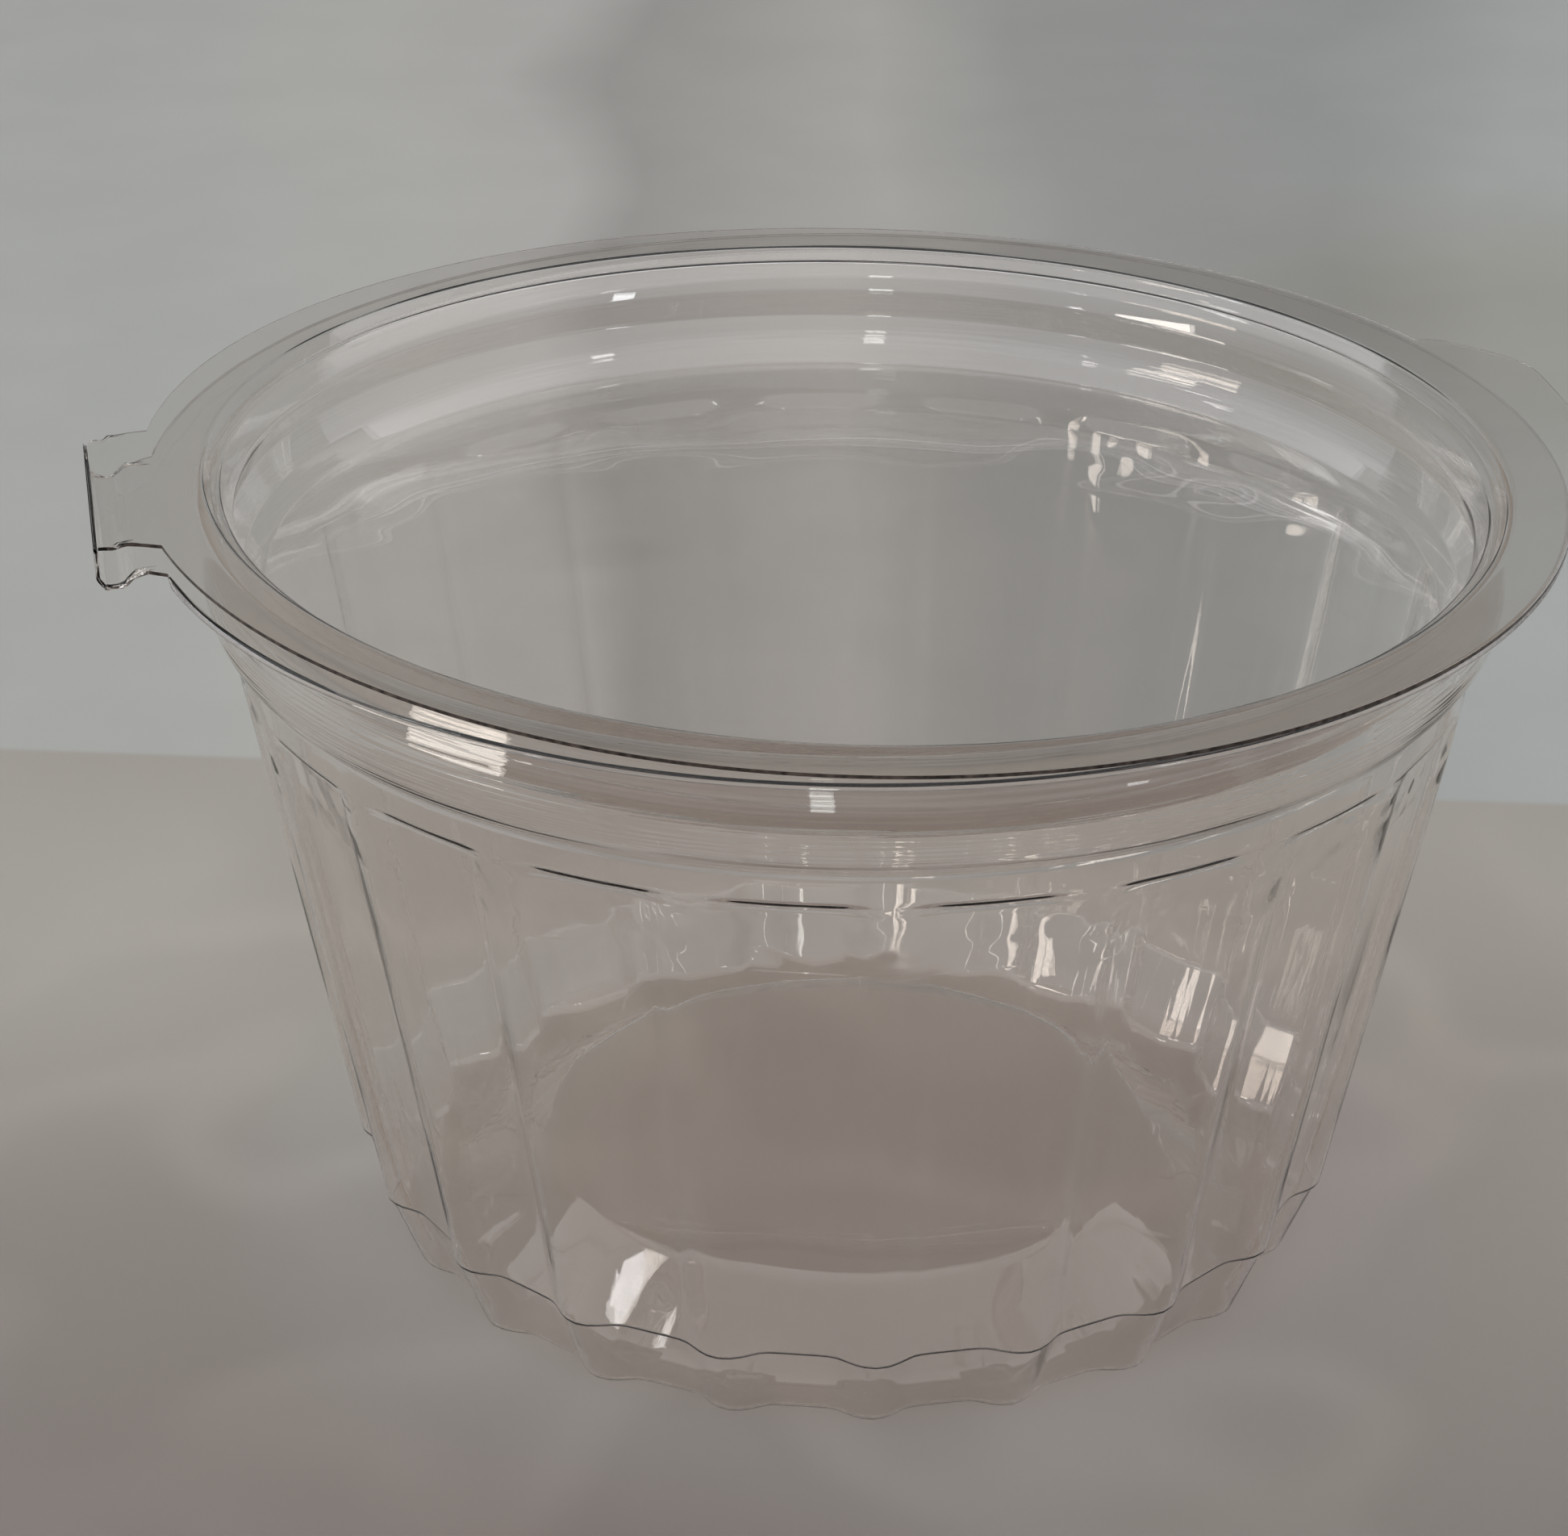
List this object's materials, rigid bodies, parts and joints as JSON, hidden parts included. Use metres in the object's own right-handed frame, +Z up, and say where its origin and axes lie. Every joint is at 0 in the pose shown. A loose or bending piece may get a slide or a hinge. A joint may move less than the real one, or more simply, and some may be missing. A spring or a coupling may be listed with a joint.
{
  "type": "hinged round deli pack",
  "caption": "Clear round food pack with a fluted tapered bowl and a snap-in sunken lid joined by a living hinge, with a lift tab opposite.",
  "frame": {"origin": "middle of the foot, on the surface the pack stands on", "axes": "+Z up, -X towards the hinge, +X towards the lift tab, +Y to the left when facing the lift tab from the hinge"},
  "size_m": [0.1737, 0.162, 0.0966],
  "materials": {
    "clear_sheet": "clear glossy thermoformed sheet"
  },
  "bodies": {
    "bowl": {"bowl": "clear_sheet"},
    "lid": {"lid": "clear_sheet"}
  },
  "joints": [
    {"name": "lid_hinge", "type": "hinge", "parent": "bowl", "child": "lid", "pos_m": [-0.0863, 0, 0.0957], "axis": [0, -1, 0], "range_deg": [0, 180]}
  ]
}
